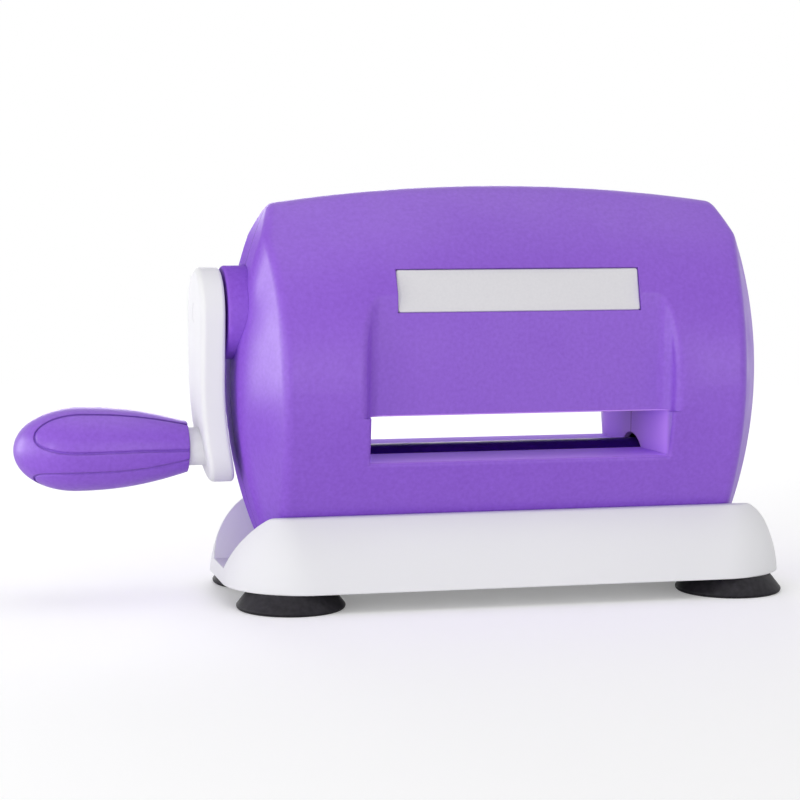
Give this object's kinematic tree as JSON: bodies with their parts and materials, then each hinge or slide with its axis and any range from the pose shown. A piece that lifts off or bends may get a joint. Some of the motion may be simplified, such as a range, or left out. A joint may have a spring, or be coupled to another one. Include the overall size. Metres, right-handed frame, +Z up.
{
  "type": "die cutting machine",
  "caption": "Hand-cranked table-top die cutting machine: barrel-shaped housing on a cradle base with suction feet, and two geared rollers across a feed slot.",
  "frame": {"origin": "centre of the base on the table, midway between the four suction cups", "axes": "+X along the rollers, with the crank on -X; +Y away from the feed side; +Z up"},
  "size_m": [0.3285, 0.1062, 0.173],
  "materials": {
    "purple_plastic": "satin moulded plastic with a fine spark texture",
    "white_plastic": "glossy moulded plastic",
    "plate_plastic": "smooth pale plastic",
    "cup_rubber": "soft matt rubber",
    "bright_steel": "turned steel",
    "plate_steel": "zinc-plated sheet",
    "roller_steel": "ground and blackened steel",
    "gear_nylon": "natural moulded nylon",
    "bush_bronze": "sintered bronze",
    "screw_steel": "zinc-plated"
  },
  "bodies": {
    "housing": {"base_cradle": "white_plastic", "base_screws": "screw_steel", "bearing_boss": "purple_plastic", "crank_bush": "bush_bronze", "crank_frame_bush": "bush_bronze", "frame_screws": "screw_steel", "front_shell": "purple_plastic", "front_tie_rod": "bright_steel", "left_frame_plate": "plate_steel", "lower_left_bush": "bush_bronze", "lower_right_bush": "bush_bronze", "name_plate": "plate_plastic", "rear_shell": "purple_plastic", "rear_tie_rod": "bright_steel", "right_frame_plate": "plate_steel", "shell_screws": "screw_steel", "suction_cup_front_left": "cup_rubber", "suction_cup_front_right": "cup_rubber", "suction_cup_rear_left": "cup_rubber", "suction_cup_rear_right": "cup_rubber", "tie_screws": "screw_steel", "top_tie_rod": "bright_steel", "upper_left_bush": "bush_bronze", "upper_right_bush": "bush_bronze"},
    "crank": {"arm_cap": "white_plastic", "arm_screw": "screw_steel", "crank_arm": "white_plastic", "crank_pinion": "gear_nylon", "crank_shaft": "bright_steel", "crank_shaft_clip": "screw_steel", "grip_pin": "bright_steel"},
    "grip": {"crank_grip": "purple_plastic"},
    "upper_roll": {"upper_drive_gear": "gear_nylon", "upper_roller": "roller_steel", "upper_roller_clips": "screw_steel", "upper_sync_gear": "gear_nylon"},
    "lower_roll": {"lower_roller": "roller_steel", "lower_roller_clips": "screw_steel", "lower_sync_gear": "gear_nylon"}
  },
  "joints": [
    {"name": "crank_turn", "type": "hinge", "parent": "housing", "child": "crank", "pos_m": [-0.12, 0, 0.1202], "axis": [1, 0, 0], "continuous": true},
    {"name": "grip_spin", "type": "hinge", "parent": "crank", "child": "grip", "pos_m": [-0.16, 0, 0.0642], "axis": [1, 0, 0], "continuous": true},
    {"name": "upper_roll_spin", "type": "hinge", "parent": "housing", "child": "upper_roll", "pos_m": [0, 0, 0.0862], "axis": [1, 0, 0], "continuous": true},
    {"name": "lower_roll_spin", "type": "hinge", "parent": "housing", "child": "lower_roll", "pos_m": [0, 0, 0.0522], "axis": [1, 0, 0], "continuous": true}
  ],
  "couplings": [
    {"joint": "upper_roll_spin", "follows": "crank_turn", "ratio": -0.61905},
    {"joint": "lower_roll_spin", "follows": "crank_turn", "ratio": 0.61905}
  ]
}
